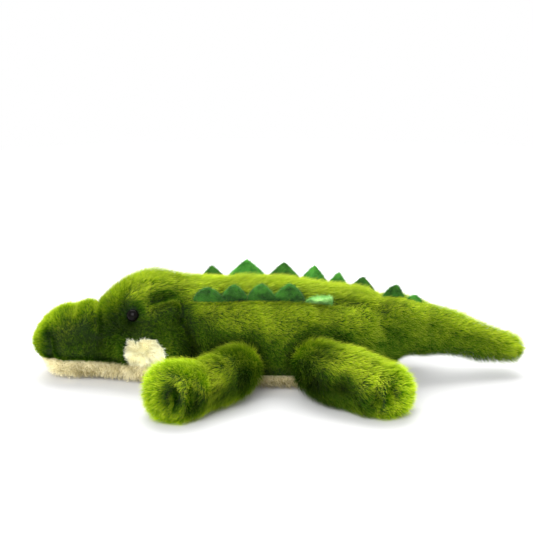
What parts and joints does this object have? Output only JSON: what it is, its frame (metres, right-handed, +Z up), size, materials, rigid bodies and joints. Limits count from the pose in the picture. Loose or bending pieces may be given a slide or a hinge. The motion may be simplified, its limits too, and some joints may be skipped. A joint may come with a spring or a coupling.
{
  "type": "plush crocodile",
  "caption": "Stuffed plush crocodile lying on its belly, with felt back scutes, safety eyes, and a head, tail and legs that swing at their seams.",
  "frame": {"origin": "on the floor, under the middle of the animal's length and width", "axes": "+Z up, the snout points along -X and the tail along +X, the animal's own left side faces -Y"},
  "size_m": [0.3, 0.2014, 0.064],
  "materials": {
    "green_fur": "long soft polyester pile, darker at the roots",
    "cream_fur": "soft cream polyester pile",
    "fibre": "white hollow fibre filling",
    "felt": "matt pressed felt",
    "eye_plastic": "polished black",
    "washer_plastic": "plain moulded"
  },
  "bodies": {
    "torso": {"back_panel": "green_fur", "flank_left": "green_fur", "flank_right": "green_fur", "belly_panel": "cream_fur", "torso_filling": "fibre", "scute_left_1": "felt", "scute_left_2": "felt", "scute_left_3": "felt", "scute_left_4": "felt", "scute_left_5": "felt", "scute_right_1": "felt", "scute_right_2": "felt", "scute_right_3": "felt", "scute_right_4": "felt", "scute_right_5": "felt", "scute_right_6": "felt"},
    "head": {"head_skin": "green_fur", "jaw_skin": "cream_fur", "head_filling": "fibre", "cheek_patch_left": "cream_fur", "cheek_patch_right": "cream_fur", "eye_left": "eye_plastic", "eye_right": "eye_plastic", "eye_washer_left": "washer_plastic", "eye_washer_right": "washer_plastic"},
    "tail": {"tail_skin_left": "green_fur", "tail_skin_right": "green_fur", "tail_filling": "fibre", "scute_tail_1": "felt", "scute_tail_2": "felt"},
    "front_leg_left": {"front_leg_skin_left": "green_fur", "front_leg_filling_left": "fibre"},
    "front_leg_right": {"front_leg_skin_right": "green_fur", "front_leg_filling_right": "fibre"},
    "hind_leg_left": {"hind_leg_skin_left": "green_fur", "hind_leg_filling_left": "fibre"},
    "hind_leg_right": {"hind_leg_skin_right": "green_fur", "hind_leg_filling_right": "fibre"}
  },
  "joints": [
    {"name": "head_turn", "type": "hinge", "parent": "torso", "child": "head", "pos_m": [-0.04576, 0, 0.03], "axis": [0, 0, 1], "range_deg": [-20, 20], "stiffness_Nm_per_rad": 0.05},
    {"name": "tail_swing", "type": "hinge", "parent": "torso", "child": "tail", "pos_m": [0.06782, 0, 0.029], "axis": [0, 0, 1], "range_deg": [-25, 25], "stiffness_Nm_per_rad": 0.02},
    {"name": "front_leg_left_lift", "type": "hinge", "parent": "torso", "child": "front_leg_left", "pos_m": [-0.024, -0.0531, 0.01705], "axis": [-1, 0, 0], "range_deg": [-20, 60]},
    {"name": "front_leg_right_lift", "type": "hinge", "parent": "torso", "child": "front_leg_right", "pos_m": [-0.024, 0.0531, 0.01705], "axis": [1, 0, 0], "range_deg": [-20, 60]},
    {"name": "hind_leg_left_lift", "type": "hinge", "parent": "torso", "child": "hind_leg_left", "pos_m": [0.0235, -0.05507, 0.0187], "axis": [-1, 0, 0], "range_deg": [-20, 60]},
    {"name": "hind_leg_right_lift", "type": "hinge", "parent": "torso", "child": "hind_leg_right", "pos_m": [0.0235, 0.05507, 0.0187], "axis": [1, 0, 0], "range_deg": [-20, 60]}
  ]
}
